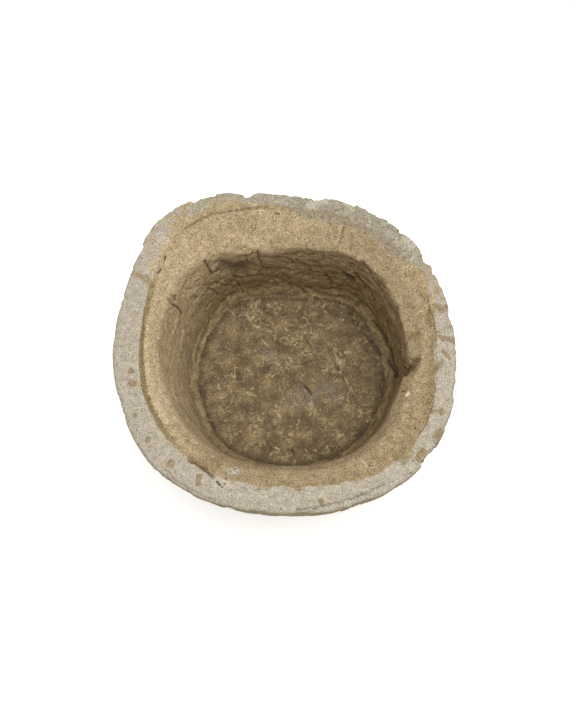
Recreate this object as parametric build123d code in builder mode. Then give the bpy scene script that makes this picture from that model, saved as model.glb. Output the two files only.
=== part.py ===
"""Hand-cut limestone trough: one hollowed block, with lime mortar let into its worn rim.

Millimetres, +Z up, origin at the middle of the block's plan, on the ground. The front is -Y.
Every level outline runs through the same stations, evenly spaced round the block from +X, so a
row of numbers below holds one value for each station, anticlockwise as seen from above.
"""

import os
from math import cos, hypot, pi, radians, sin

from build123d import *

os.makedirs("parts", exist_ok=True)

# Overall size
trough_width = 566  # across, along X
trough_length = 554  # front to back, along Y
trough_height = 320

# Depths below the top of the rim
rebate_depth = 9  # step down from the rim to the ledge
crest_depth = 13  # where the sloping ledge ends
lip_depth = 34  # foot of the bevelled lip
hollow_depth = 220

# Heights above the ground and the floor of the hollow
foot_height = 16  # worn arris round the base
belly_height = 165
arris_height = 12  # worn arris round the rim
cove_height = 20  # rounded foot of the inner wall

# Steps inward that are the same all round
rim_wear = 4
belly_inset = 13
foot_inset = 38
foot_wear = 10
step_slope = 4
cove_inset = 14

# Hand-cut unevenness, station by station: how far the rim swells outside a true oval, then how
# wide the rim's top, the ledge and the bevelled lip are, and how far the wall leans in to its foot
rim_swell = [0, 1, 7, 1, -6, 18, 31, 4, 0, 3, 12, 7, 3, 12, 19, 11]
rim_band = [33, 26, 28, 24, 19, 27, 41, 40, 43, 39, 45, 41, 43, 39, 32, 33]
ledge_band = [16, 16, 15, 16, 20, 12, 14, 9, 8, 15, 17, 21, 21, 26, 38, 33]
lip_bevel = [23, 31, 32, 40, 50, 63, 38, 20, 17, 19, 17, 14, 12, 13, 14, 19]
wall_batter = [2, 2, 2, 5, 3, 3, 24, 34, 32, 31, 25, 21, 17, 20, 15, 5]

# Chips knocked off the rim's outer edge: degrees round from +X, width of the chip, its depth
rim_chips = [(45, 34, 6), (56, 26, 4), (67, 34, 7), (100, 44, 5), (120, 22, 8), (147, 32, 4),
             (236, 46, 4), (304, 40, 5), (344, 30, 3)]
chip_reach = 15  # how far a chip runs down the outside

# Break in the lip on the right, and the gouge along the foot of the step at the front left
lip_break_angle = 351
lip_break_width = 30
lip_break_depth = 12
lip_break_drop = 16  # how far the break runs below the lip
lip_break_flare = 8  # degrees that it widens upwards
gouge_angles = (232, 243)
gouge_width = 9
gouge_depth = 6

# Lime-mortar fills let into the rim: node, degrees round from +X, distance in from the rim's
# outer edge, length, width, and degrees that the length is turned from pointing outwards
mortar_patches = [
    ("left_upper_mortar_patch", 191.5, 31, 11, 9, 30),
    ("left_lower_mortar_patch", 196, 30, 13, 15, 40),
    ("front_left_small_mortar_patch", 217, 22, 11, 8, 20),
    ("front_left_square_mortar_patch", 228.5, 24, 14, 13, 8),
    ("front_left_ragged_mortar_patch", 239.5, 26, 20, 9, 24),
    ("front_mortar_patch", 282.5, 19, 12, 8, 6),
    ("front_right_step_mortar_patch", 316.5, 28, 10, 17, 12),
    ("front_right_edge_mortar_patch", 319, 15, 11, 24, 6),
    ("right_edge_mortar_patch", 327.5, 11, 8, 20, -16),
    ("right_lower_mortar_patch", 335, 17, 12, 9, -40),
    ("right_upper_mortar_patch", 355, 19, 24, 7, -46),
]
patch_depth = 10  # how deep a pocket goes below the rim
patch_sink = 1  # how far the mortar has worn down below the stone round it
patch_roundness = 0.3  # corner radius, as a share of the patch's shorter side

# Cracks filled with the same mortar, which run out across the rim: node, degrees round from +X,
# width, length in from the rim's outer edge, degrees turned from pointing outwards
mortar_seams = [
    ("left_mortar_seam", 154.5, 8, 38, -4),
    ("right_lower_mortar_seam", 1.5, 6, 32, -14),
    ("right_upper_mortar_seam", 13.5, 6, 30, -22),
]
seam_depth = 22

station_count = len(rim_swell)
arris_level = trough_height - arris_height
ledge_level = trough_height - rebate_depth
crest_level = trough_height - crest_depth
lip_level = trough_height - lip_depth
mortar_level = trough_height - patch_sink
floor_level = trough_height - hollow_depth
clear_cut = 20  # how far a cutting tool stands outside the stone


def around(number):
    """Angle of a station, in radians."""
    return 2 * pi * number / station_count


def oval_radius(angle):
    """Distance from the middle to a true oval of the trough's width and length."""
    half_width = trough_width / 2
    half_length = trough_length / 2
    return half_width * half_length / hypot(half_length * cos(angle), half_width * sin(angle))


def inside(radii, steps):
    """The outline that lies inside another, by its own step at each station."""
    return [radius - step for radius, step in zip(radii, steps)]


def all_round(step):
    """The same step at every station."""
    return [step] * station_count


def curve_points(radii):
    """The points that an outline's curve runs through, about the stations' middle."""
    return [(r * cos(around(n)), r * sin(around(n))) for n, r in enumerate(radii)]


# Outlines, from the outside in
rim_outline = [oval_radius(around(n)) + swell for n, swell in enumerate(rim_swell)]
rim_top_outline = inside(rim_outline, all_round(rim_wear))
belly_outline = inside(rim_outline, all_round(belly_inset))
foot_outline = inside(rim_outline, all_round(foot_inset))
base_outline = inside(foot_outline, all_round(foot_wear))
step_outline = inside(rim_top_outline, rim_band)
step_foot_outline = inside(step_outline, all_round(step_slope))
crest_outline = inside(step_foot_outline, ledge_band)
lip_outline = inside(crest_outline, lip_bevel)
wall_foot_outline = inside(lip_outline, wall_batter)
floor_outline = inside(wall_foot_outline, all_round(cove_inset))

# The uneven outline isn't central on its stations, so their middle is set off from the origin
with BuildLine() as rim_plan:
    Spline(*curve_points(rim_outline), periodic=True)
plan_centre = rim_plan.line.bounding_box().center()
middle = Vector(-plan_centre.X, -plan_centre.Y)


def outline_at(radii, height):
    """One level outline, as a face at its own height."""
    with BuildSketch(Plane((middle.X, middle.Y, height))) as outline:
        with BuildLine():
            Spline(*curve_points(radii), periodic=True)
        make_face()
    return outline.sketch


def radius_of(radii, degrees):
    """Distance from the stations' middle to an outline, in any direction."""
    far = 2 * trough_width
    with BuildLine() as outline:
        Spline(*curve_points(radii), periodic=True)
    with BuildLine() as ray:
        Line((0, 0), (far * cos(radians(degrees)), far * sin(radians(degrees))))
    crossing = outline.line.edge().intersect(ray.line.edge())
    return crossing.vertex().center().length


def rim_plane(degrees, inward, turn=0):
    """A level plane at the rim's top, its X axis pointing outwards and turned by some degrees."""
    radius = radius_of(rim_outline, degrees) - inward
    place = middle + Vector(radius, 0, trough_height).rotate(Axis.Z, degrees)
    return Plane(place, x_dir=Vector(1, 0, 0).rotate(Axis.Z, degrees + turn), z_dir=(0, 0, 1))


def rough_block():
    """The block's outside, before anything was cut into it."""
    with BuildPart() as rough:
        loft([outline_at(foot_outline, foot_height), outline_at(belly_outline, belly_height),
              outline_at(rim_outline, arris_level)])
        loft([outline_at(base_outline, 0), outline_at(foot_outline, foot_height)], ruled=True)
        loft([outline_at(rim_outline, arris_level), outline_at(rim_top_outline, trough_height)], ruled=True)
    return rough.part


def hollow():
    """What the mason took out: the rebate, its sloping ledge, the bevelled lip, the wall and the floor."""
    with BuildPart() as space:
        loft([outline_at(step_outline, trough_height + clear_cut), outline_at(step_outline, trough_height),
              outline_at(step_foot_outline, ledge_level), outline_at(crest_outline, crest_level),
              outline_at(lip_outline, lip_level), outline_at(wall_foot_outline, floor_level + cove_height),
              outline_at(floor_outline, floor_level)], ruled=True)
    return space.part


def rim_chip(degrees, width, depth):
    """A facet where a piece has come off the rim's outer edge."""
    rim = rim_plane(degrees, 0)
    with BuildPart() as chip:
        with BuildSketch(Plane(rim.origin, x_dir=rim.x_dir, z_dir=-rim.y_dir)):
            with BuildLine():
                Polyline((-depth, 0), (-depth, clear_cut), (clear_cut, clear_cut),
                         (clear_cut, -chip_reach), (0, -chip_reach), close=True)
            make_face()
        extrude(amount=width / 2, both=True)
    return chip.part


def lip_break():
    """A wedge broken out of the lip, open to the hollow, from above the ledge to below the lip."""
    inward = radius_of(rim_outline, lip_break_angle) - radius_of(lip_outline, lip_break_angle)
    lip = rim_plane(lip_break_angle, inward).offset(lip_level - lip_break_drop - trough_height)
    with BuildPart() as wedge:
        with BuildSketch(lip):
            with BuildLine():
                Polyline((lip_break_depth, 0), (0, lip_break_width / 2), (-clear_cut, lip_break_width / 2),
                         (-clear_cut, -lip_break_width / 2), (0, -lip_break_width / 2), close=True)
            make_face()
        extrude(amount=lip_depth + lip_break_drop, taper=-lip_break_flare)
    return wedge.part


def ledge_gouge():
    """A straight V cut along the foot of the step."""
    start, end = [middle + Vector(radius_of(step_foot_outline, degrees), 0, ledge_level).rotate(Axis.Z, degrees)
                  for degrees in gouge_angles]
    along = (end - start).normalized()
    with BuildPart() as gouge:
        with BuildSketch(Plane(start, x_dir=along.cross(Vector(0, 0, -1)), z_dir=along)):
            with BuildLine():
                Polyline((-gouge_width / 2, 0), (0, -gouge_depth), (gouge_width / 2, 0), close=True)
            make_face()
        extrude(amount=(end - start).length)
    return gouge.part


def patch_prism(degrees, inward, length, width, turn, top):
    """An upright block with rounded corners, from the bottom of a pocket up to a level."""
    with BuildPart() as prism:
        with BuildSketch(rim_plane(degrees, inward, turn).offset(-patch_depth)):
            RectangleRounded(length, width, patch_roundness * min(length, width))
        extrude(amount=patch_depth + top - trough_height)
    return prism.part


def seam_slab(degrees, width, reach, turn, top):
    """An upright slab across the rim, from outside the stone to the crack's inner end."""
    with BuildPart() as slab:
        with BuildSketch(rim_plane(degrees, reach / 2, turn).offset(-seam_depth)):
            with Locations((-reach / 2, 0)):
                Rectangle(reach + clear_cut, width, align=(Align.MIN, Align.CENTER))
        extrude(amount=seam_depth + top - trough_height)
    return slab.part


# Stone block
block = rough_block()
pockets = [patch_prism(*sizes, top=trough_height + clear_cut) for node, *sizes in mortar_patches]
cracks = [seam_slab(*sizes, top=trough_height + clear_cut) for node, *sizes in mortar_seams]
chips = [rim_chip(*sizes) for sizes in rim_chips]
with BuildPart() as stone_block:
    add(block)
    add(hollow(), mode=Mode.SUBTRACT)
    add([lip_break(), ledge_gouge(), *chips, *pockets, *cracks], mode=Mode.SUBTRACT)
stone_block.part.label = "stone_block"
export_step(stone_block.part, "parts/stone_block.step")

# Mortar patches, each bedded in its own pocket
for node, *sizes in mortar_patches:
    with BuildPart() as mortar_patch:
        add(patch_prism(*sizes, top=mortar_level))
    mortar_patch.part.label = node
    export_step(mortar_patch.part, f"parts/{node}.step")

# Mortared cracks, flush with the block's outside
for node, *sizes in mortar_seams:
    with BuildPart() as mortar_seam:
        add(block)
        add(seam_slab(*sizes, top=mortar_level), mode=Mode.INTERSECT)
    mortar_seam.part.label = node
    export_step(mortar_seam.part, f"parts/{node}.step")
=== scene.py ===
import math

import bmesh
import bpy
import numpy as np
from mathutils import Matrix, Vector
from mathutils.bvhtree import BVHTree


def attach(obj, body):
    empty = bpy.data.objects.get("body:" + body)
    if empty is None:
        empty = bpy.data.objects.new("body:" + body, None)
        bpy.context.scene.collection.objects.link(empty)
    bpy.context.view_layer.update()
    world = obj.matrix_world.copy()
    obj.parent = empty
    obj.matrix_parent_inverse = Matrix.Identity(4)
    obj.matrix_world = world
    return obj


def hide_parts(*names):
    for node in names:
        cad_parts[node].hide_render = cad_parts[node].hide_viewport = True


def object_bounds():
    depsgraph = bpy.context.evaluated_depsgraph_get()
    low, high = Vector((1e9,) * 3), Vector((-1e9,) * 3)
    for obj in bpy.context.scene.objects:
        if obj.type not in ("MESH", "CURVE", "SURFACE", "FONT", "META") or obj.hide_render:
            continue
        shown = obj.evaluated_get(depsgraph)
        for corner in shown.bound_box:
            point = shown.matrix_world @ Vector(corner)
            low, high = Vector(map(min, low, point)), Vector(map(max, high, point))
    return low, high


# A hand-cut limestone trough, seen from above. Everything is in metres in the part's own frame:
# origin on the ground under the middle, +Z up, the front towards -Y. Sizes in the dictionaries
# are millimetres unless they say otherwise.

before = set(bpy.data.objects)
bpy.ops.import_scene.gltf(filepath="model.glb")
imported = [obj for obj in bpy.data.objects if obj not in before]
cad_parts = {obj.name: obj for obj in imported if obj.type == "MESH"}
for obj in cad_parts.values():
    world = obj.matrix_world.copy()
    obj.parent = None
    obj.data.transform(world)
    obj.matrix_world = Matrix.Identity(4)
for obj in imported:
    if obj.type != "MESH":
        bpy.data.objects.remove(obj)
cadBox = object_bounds()
scene = bpy.context.scene
mm = 0.001
rimTop = cadBox[1].z


def addNode(tree, kind, values=None, **settings):
    # values: socket name or number -> a value, or the output that feeds it
    node = tree.nodes.new(kind)
    for name, setting in settings.items():
        setattr(node, name, setting)
    for key, value in (values or {}).items():
        if isinstance(value, bpy.types.Node):
            value = value.outputs[0]
        if isinstance(value, bpy.types.NodeSocket):
            tree.links.new(value, node.inputs[key])
        else:
            node.inputs[key].default_value = value
    return node


# the nodes that come up most; their values are in the order of the node's sockets
def maths(tree, operation, *values, **settings):
    return addNode(tree, "ShaderNodeMath", dict(enumerate(values)), operation=operation, **settings)


def vectorMaths(tree, operation, *values):
    return addNode(tree, "ShaderNodeVectorMath", dict(enumerate(values)), operation=operation)


def scaledBy(tree, vector, scale):
    return addNode(tree, "ShaderNodeVectorMath", {0: vector, "Scale": scale}, operation="SCALE")


def mapRange(tree, *values, **settings):
    return addNode(tree, "ShaderNodeMapRange", dict(enumerate(values)), **settings)


def mixColours(tree, share, under, over):
    return addNode(tree, "ShaderNodeMix", {0: share, 6: under, 7: over}, data_type="RGBA").outputs[2]


def plainNoise(tree, place, scale, detail, roughness=0.5):
    return addNode(tree, "ShaderNodeTexNoise", {"Vector": place, "Scale": scale, "Detail": detail,
                                                "Roughness": roughness})


def linearColour(hexText):
    # sRGB hex, as read off a screen, to the linear values that shaders want
    parts = [int(hexText[i:i + 2], 16) / 255 for i in (1, 3, 5)]
    return tuple(c / 12.92 if c <= 0.04045 else ((c + 0.055) / 1.055) ** 2.4 for c in parts) + (1.0,)


def perMetre(width):
    # a texture's Scale for features that many millimetres apart
    return 1 / (width * mm)


# the view, reconstructed from how much smaller the floor looks than the rim
viewpoint = {
    "imageWidth": 576,        # pixels
    "imageHeight": 709,
    "lens": 42.2,
    "sensor": 36.0,
    "tilt": 17.0,             # degrees off straight down
    "distance": 1350.0,
    "aim": (6.0, -20.0),      # where the line of sight meets the level of the rim
}


def makeCamera():
    tilt = math.radians(viewpoint["tilt"])
    data = bpy.data.cameras.new("viewCamera")
    data.lens = viewpoint["lens"]
    data.sensor_width = viewpoint["sensor"]
    made = bpy.data.objects.new("viewCamera", data)
    aim = Vector((viewpoint["aim"][0] * mm, viewpoint["aim"][1] * mm, rimTop))
    made.location = aim + viewpoint["distance"] * mm * Vector((0, -math.sin(tilt), math.cos(tilt)))
    made.rotation_euler = (tilt, 0, 0)
    scene.collection.objects.link(made)
    scene.camera = made
    bpy.context.view_layer.update()
    return made


camera = makeCamera()
print("camera made")

studio = {
    "overheadPower": 56.0,       # watts
    "overheadSize": 2400.0,
    "overheadHeight": 2300.0,
    "overheadPlace": (260.0, -60.0),
    "sky": "#F4F5F7",
    "skyStrength": 0.55,
    "floorColour": "#F2F1EE",
    "floorGlow": 0.4,           # a white table lit from below, which softens the shadow round the stone
    "floorWidth": 12000.0,
}


def makeStudio():
    data = bpy.data.lights.new("overhead", "AREA")
    data.shape = "DISK"
    data.size = studio["overheadSize"] * mm
    data.energy = studio["overheadPower"]
    lamp = bpy.data.objects.new("overhead", data)
    lamp.location = [c * mm for c in (*studio["overheadPlace"], studio["overheadHeight"])]
    lamp.rotation_euler = (Vector((0, 0, rimTop)) - lamp.location).to_track_quat("-Z", "Y").to_euler()
    scene.collection.objects.link(lamp)
    scene.world = bpy.data.worlds.new("paleStudio")
    scene.world.use_nodes = True
    background = scene.world.node_tree.nodes["Background"]
    background.inputs["Color"].default_value = linearColour(studio["sky"])
    background.inputs["Strength"].default_value = studio["skyStrength"]
    scene.view_settings.view_transform = "Standard"

    half = studio["floorWidth"] / 2 * mm
    mesh = bpy.data.meshes.new("studioFloor")
    mesh.from_pydata([(-half, -half, 0), (half, -half, 0), (half, half, 0), (-half, half, 0)], [],
                     [(0, 1, 2, 3)])
    floor = bpy.data.objects.new("studioFloor", mesh)
    paper = bpy.data.materials.new("matte white paper")
    paper.use_nodes = True
    shader = paper.node_tree.nodes["Principled BSDF"]
    shader.inputs["Base Color"].default_value = linearColour(studio["floorColour"])
    shader.inputs["Roughness"].default_value = 0.9
    shader.inputs["Emission Color"].default_value = linearColour(studio["floorColour"])
    shader.inputs["Emission Strength"].default_value = studio["floorGlow"]
    mesh.materials.append(paper)
    scene.collection.objects.link(floor)


makeStudio()
print("light and floor made")

# The stone is one closed mesh of rings. Each ring follows the CAD block at one height, and the
# rings between two edges belong to one zone, from under the block, up the outside, over the rim
# and down the hollow to the middle of its floor.
stone = {
    "pointsRound": 900,
    "arrisHeight": 12.0,          # these are the block's own levels
    "fillDepth": 1.2,             # just below the tops of the fills, so that rays meet them
    "rebateDepth": 9.0,
    "crestDepth": 13.0,
    "lipDepth": 34.0,
    "hollowDepth": 220.0,
    "coveHeight": 20.0,
    "rings": {"underside": 4, "outside": 36, "arris": 6, "rim": 17, "step": 6, "ledge": 11,
              "bevel": 20, "wall": 66, "cove": 10, "floor": 46},
    # bites out of the rim's edge: a seed, the fewest and most round the rim, and how much they count
    "bites": ((3, 12, 40, 0.9), (4, 40, 110, 0.5), (11, 110, 260, 0.25)),
    "biteShare": 0.15,
    # tables by degrees round from +X: how far each edge wanders, in millimetres
    "arrisWander": {0: 4.0, 25: 6.0, 40: 8.0, 75: 7.0, 110: 6.0, 150: 4.5, 175: 2.0, 240: 2.5, 300: 6.0,
                    335: 4.0},
    "stepWander": {0: 1.6, 90: 2.0, 180: 1.0, 270: 2.2},
    "crestWander": {0: 1.5, 35: 3.2, 60: 5.0, 90: 3.0, 120: 2.5, 150: 1.6, 200: 1.2, 300: 1.5},
    "lipWander": {0: 2.0, 60: 3.5, 120: 4.0, 160: 2.0, 180: 1.2, 240: 1.6, 300: 1.6},
    "wallWander": {0: 3.0, 90: 3.0, 180: 2.5, 270: 2.0},
    # how much of the rebate and of the ledge's fall is left, as a share
    "stepLeft": {0: 0.6, 20: 0.35, 35: 0.15, 80: 0.3, 100: 0.35, 140: 0.4, 155: 0.8, 165: 0.9, 215: 1.0,
                 240: 0.6, 300: 0.6, 340: 0.7},
    "crestLeft": {0: 1.0, 20: 0.8, 40: 0.5, 75: 0.5, 100: 0.8, 130: 1.0},
    # how many times each edge is worn
    "crestWear": {0: 12, 25: 4, 40: 1, 85: 1, 100: 3, 125: 10, 150: 20, 200: 30, 300: 30, 340: 20},
    "lipWear": {0: 8, 30: 8, 55: 10, 75: 16, 120: 20, 140: 40, 165: 50, 200: 50, 240: 30, 300: 20,
                340: 8},
    "stepWear": {0: 14, 60: 20, 120: 20, 140: 20, 158: 8, 205: 4, 240: 24, 300: 30, 330: 18},
}

# each zone's first edge, in the order of wear: rings worn on each side, and how many times by degrees
edgeWear = (
    ("arris", 3, {0: 3}),
    ("rim", 3, {0: 4}),
    ("step", 5, stone["stepWear"]),
    ("ledge", 5, stone["stepWear"]),
    ("bevel", 9, stone["crestWear"]),
    ("wall", 17, stone["lipWear"]),
    ("cove", 5, {0: 6}),
    ("floor", 3, {0: 1}),
)

height = rimTop / mm
angles = np.arange(stone["pointsRound"]) * (2 * math.pi / stone["pointsRound"])
degrees = np.degrees(angles)


def cadSurface():
    # every CAD solid in one tree, so that a ray meets the fill where one bridges the stone
    points, faces = [], []
    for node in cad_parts.values():
        first = len(points)
        points += [v.co.copy() for v in node.data.vertices]
        faces += [[first + i for i in p.vertices] for p in node.data.polygons]
    return BVHTree.FromPolygons(points, faces)


def ringRadii(tree, level, outside):
    # how far the surface is from the middle, all round, at one height
    radii = np.full(len(angles), np.nan)
    for i, angle in enumerate(angles):
        way = Vector((math.cos(angle), math.sin(angle), 0))
        start = Vector((0, 0, level * mm)) + (way * 0.5 if outside else Vector())
        hit = tree.ray_cast(start, -way if outside else way)[0]
        if hit:
            radii[i] = math.hypot(hit.x, hit.y) / mm
    met = np.isfinite(radii)
    return np.interp(degrees, degrees[met], radii[met], period=360)


def byAngle(table):
    return np.interp(degrees, list(table), list(table.values()), period=360)


def wander(seed, fewest, most):
    # an uneven line once round, from -1 to 1, with that many to that many waves in it
    source = np.random.default_rng(seed)
    line = np.zeros(len(angles))
    for waves in range(fewest, most):
        line += source.normal() * np.cos(waves * angles + source.uniform(0, 2 * math.pi)) / math.sqrt(waves)
    return line / np.abs(line).max()


def traceRings():
    tree = cadSurface()
    skin = 0.05                       # rays run this far inside an edge's level, to meet the face below it
    floorLevel = height - stone["hollowDepth"]
    arris = height - stone["arrisHeight"]
    bites = sum(share * wander(seed, fewest, most) for seed, fewest, most, share in stone["bites"])
    inward = byAngle(stone["arrisWander"]) * np.clip(bites + stone["biteShare"], 0, 1)
    step = byAngle(stone["stepWander"]) * wander(5, 8, 60)
    crest = byAngle(stone["crestWander"]) * (0.6 * wander(6, 12, 34) + 0.4 * wander(7, 34, 110))
    lip = byAngle(stone["lipWander"]) * wander(8, 6, 50)
    wall = byAngle(stone["wallWander"]) * wander(9, 5, 24)
    edges = {
        "rimEdge": (ringRadii(tree, height - stone["fillDepth"], True) - inward, height - 0.3 * inward),
        "stepEdge": (ringRadii(tree, height - stone["fillDepth"], False) + step, height),
        "stepFoot": (ringRadii(tree, height - stone["rebateDepth"] - skin, False) + step,
                     height - stone["rebateDepth"] * byAngle(stone["stepLeft"])),
        "crest": (ringRadii(tree, height - stone["crestDepth"] - skin, False) + crest,
                  height - stone["crestDepth"] * byAngle(stone["crestLeft"]) + 0.3 * crest),
        "lip": (ringRadii(tree, height - stone["lipDepth"], False) + lip, height - stone["lipDepth"]),
        "wallFoot": (ringRadii(tree, floorLevel + stone["coveHeight"], False) + wall,
                     floorLevel + stone["coveHeight"]),
        "floorEdge": (ringRadii(tree, floorLevel + skin, False) + wall, floorLevel),
    }
    zoneNames = list(stone["rings"])
    radii, levels, zones, shares = [], [], [], []

    def addZone(name, start, end):
        count = stone["rings"][name]
        for k in range(count):
            t = k / count
            radii.append(start[0] * (1 - t) + end[0] * t)
            levels.append(start[1] * (1 - t) + end[1] * t)
            zones.append(zoneNames.index(name))
            shares.append(t)

    flat = np.zeros(len(angles))
    base = ringRadii(tree, skin, True)
    addZone("underside", (flat, flat), (base, flat))
    outsideLevels = np.linspace(0, arris, stone["rings"]["outside"], endpoint=False)
    for level in outsideLevels:
        share = level / arris
        radii.append(ringRadii(tree, max(level, skin), True) - inward * share ** 3)
        levels.append(flat + level)
        zones.append(zoneNames.index("outside"))
        shares.append(share)
    arrisEdge = (ringRadii(tree, arris, True) - inward, flat + arris)
    order = [("arris", arrisEdge, "rimEdge"), ("rim", "rimEdge", "stepEdge"),
             ("step", "stepEdge", "stepFoot"), ("ledge", "stepFoot", "crest"),
             ("bevel", "crest", "lip"), ("wall", "lip", "wallFoot"),
             ("cove", "wallFoot", "floorEdge"), ("floor", "floorEdge", (flat, flat + floorLevel))]
    for name, start, end in order:
        start, end = (edges[e] if isinstance(e, str) else e for e in (start, end))
        addZone(name, (start[0], flat + start[1]), (end[0], flat + end[1]))
    return np.array(radii), np.array(levels), np.array(zones), np.array(shares), zoneNames


def wearEdge(radii, levels, ring, reach, times):
    # rings near an edge move towards the middle of their neighbours, more often where times is high
    for n in range(int(times.max())):
        amount = np.clip(times - n, 0, 1) * 0.5
        for values in (radii, levels):
            near = slice(ring - reach, ring + reach + 1)
            before = values[ring - reach - 1:ring + reach]
            after = values[ring - reach + 1:ring + reach + 2]
            values[near] += amount * ((before + after) / 2 - values[near])


def buildStone():
    radii, levels, zones, shares, zoneNames = traceRings()
    first = {name: int(np.argmax(zones == k)) for k, name in enumerate(zoneNames)}
    for name, reach, times in edgeWear:
        wearEdge(radii, levels, first[name], reach, byAngle(times))
    radii, levels, zones, shares = radii[1:], levels[1:], zones[1:], shares[1:]
    rows, columns = radii.shape
    x = radii * np.cos(angles) * mm
    y = radii * np.sin(angles) * mm
    points = np.stack([x, y, levels * mm], 2).reshape(-1, 3)
    floorLevel = rimTop - stone["hollowDepth"] * mm
    points = np.vstack([points, [(0, 0, 0), (0, 0, floorLevel)]])
    grid = np.arange(rows * columns).reshape(rows, columns)
    beside = np.roll(grid, -1, axis=1)
    quads = np.stack([grid[:-1], beside[:-1], beside[1:], grid[1:]], 2).reshape(-1, 4).tolist()
    under, middle = rows * columns, rows * columns + 1
    quads += [[under, int(b), int(a)] for a, b in zip(grid[0], beside[0])]
    quads += [[middle, int(a), int(b)] for a, b in zip(grid[-1], beside[-1])]
    mesh = bpy.data.meshes.new("carvedStone")
    mesh.from_pydata(points.tolist(), [], quads)
    mesh.update()
    made = bpy.data.objects.new("carvedStone", mesh)
    scene.collection.objects.link(made)
    zone = np.repeat(zones + shares, columns).reshape(rows, columns)
    return made, np.append(zone.ravel(), [0, len(zoneNames)]), zoneNames


carvedStone, zone, zoneNames = buildStone()
print("rings traced:", len(carvedStone.data.vertices), "points")


def readPoints(mesh, name="co"):
    values = np.empty(len(mesh.vertices) * 3, np.float32)
    mesh.vertices.foreach_get(name, values)
    return values.reshape(-1, 3).astype(float)


def writeMask(mesh, name, values):
    mask = mesh.attributes.get(name) or mesh.attributes.new(name, "FLOAT", "POINT")
    mask.data.foreach_set("value", np.asarray(values, np.float32))


def zoneMask(low, high, soft=0.35):
    # 1 between two zone numbers, fading over that share of a zone
    rise = np.clip((zone - low) / soft + 0.5, 0, 1)
    fall = np.clip((high - zone) / soft + 0.5, 0, 1)
    return rise * fall


def ripple(points, size, seed, waves=7):
    # an uneven field from -1 to 1 with swells about that many millimetres across
    source = np.random.default_rng(seed)
    field = np.zeros(len(points))
    for _ in range(waves):
        way = source.normal(size=3)
        way *= 2 * math.pi / (size * mm) * source.uniform(0.6, 1.4) / np.linalg.norm(way)
        field += np.sin(points @ way + source.uniform(0, 2 * math.pi))
    return np.clip(field / math.sqrt(waves) / 1.4, -1, 1)


# where the finishes lie, by degrees round from +X
coverage = {
    # the grey skin reaches in from the outer edge to this zone: 3 is the rim, 4 the step, 6 the bevel
    "skinReach": {0: 4.0, 14: 3.9, 30: 3.7, 36: 5.5, 48: 5.95, 80: 5.9, 92: 4.6, 100: 3.9, 112: 3.75,
                  130: 3.7, 150: 3.9, 158: 4.0, 216: 4.0, 300: 4.0, 330: 3.95},
    # and this share of it is left there
    "skinShare": {0: 1.0, 8: 0.8, 16: 0.6, 30: 0.6, 37: 1.0, 100: 1.0, 110: 0.75, 118: 0.6, 135: 0.58,
                  146: 0.75, 152: 1.0},
    # how far the skin's inner edge strays, in zones
    "skinStray": {0: 0.15, 30: 0.2, 95: 0.15, 108: 0.35, 145: 0.35, 158: 0.12, 220: 0.15, 340: 0.15},
    "oldSkin": {0: 0.15, 20: 0.35, 35: 0.85, 85: 0.75, 100: 0.6, 130: 0.45, 150: 0.1, 180: 0.0, 320: 0.0},
    "ledgeBand": {28: 0.0, 38: 1.0, 88: 1.0, 104: 0.4, 125: 0.0},
    "brownStep": {0: 0.45, 20: 0.3, 90: 0.5, 110: 0.3, 145: 0.3, 160: 0.75, 212: 0.8, 225: 0.45,
                  240: 0.15, 300: 0.1, 340: 0.5},
    # how pale the cut stone is, and how much further up the wall its brown stain and painted shade reach,
    # as a share of the wall
    "pale": {0: 0.25, 30: 0.35, 60: 0.4, 90: 0.45, 125: 0.5, 150: 0.9, 205: 1.0, 225: 0.5, 245: 0.1,
             300: 0.0, 330: 0.15},
    "stain": {0: 0.45, 60: 0.45, 100: 0.4, 125: 0.15, 155: -0.25, 215: -0.3, 245: -0.2, 270: 0.0,
              300: 0.1, 330: 0.4},
    "chips": {0: 0.7, 30: 0.7, 60: 0.9, 110: 1.0, 150: 1.0, 175: 0.4, 230: 0.2, 300: 0.2, 340: 0.6},
    "beds": {0: 0.5, 30: 0.7, 55: 1.0, 115: 1.0, 140: 0.45, 165: 0.25, 200: 0.2, 300: 0.2, 340: 0.4},
}


# how much of each kind of relief lies on each zone, and the table that shares it out by degrees
reliefShares = {
    "hewn": (("wall", 1.0, "chips"), ("bevel", 0.3, "chips"), ("floor", 0.15, None),
             ("outside", 0.85, None)),
    "bedded": (("wall", 1.0, "beds"), ("bevel", 0.25, "beds")),
    "worn": (("everywhere", 0.3, None), ("outside", 0.7, None), ("floor", 0.35, None),
             ("wall", 0.4, None), ("bevel", 0.2, None)),
}


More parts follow.
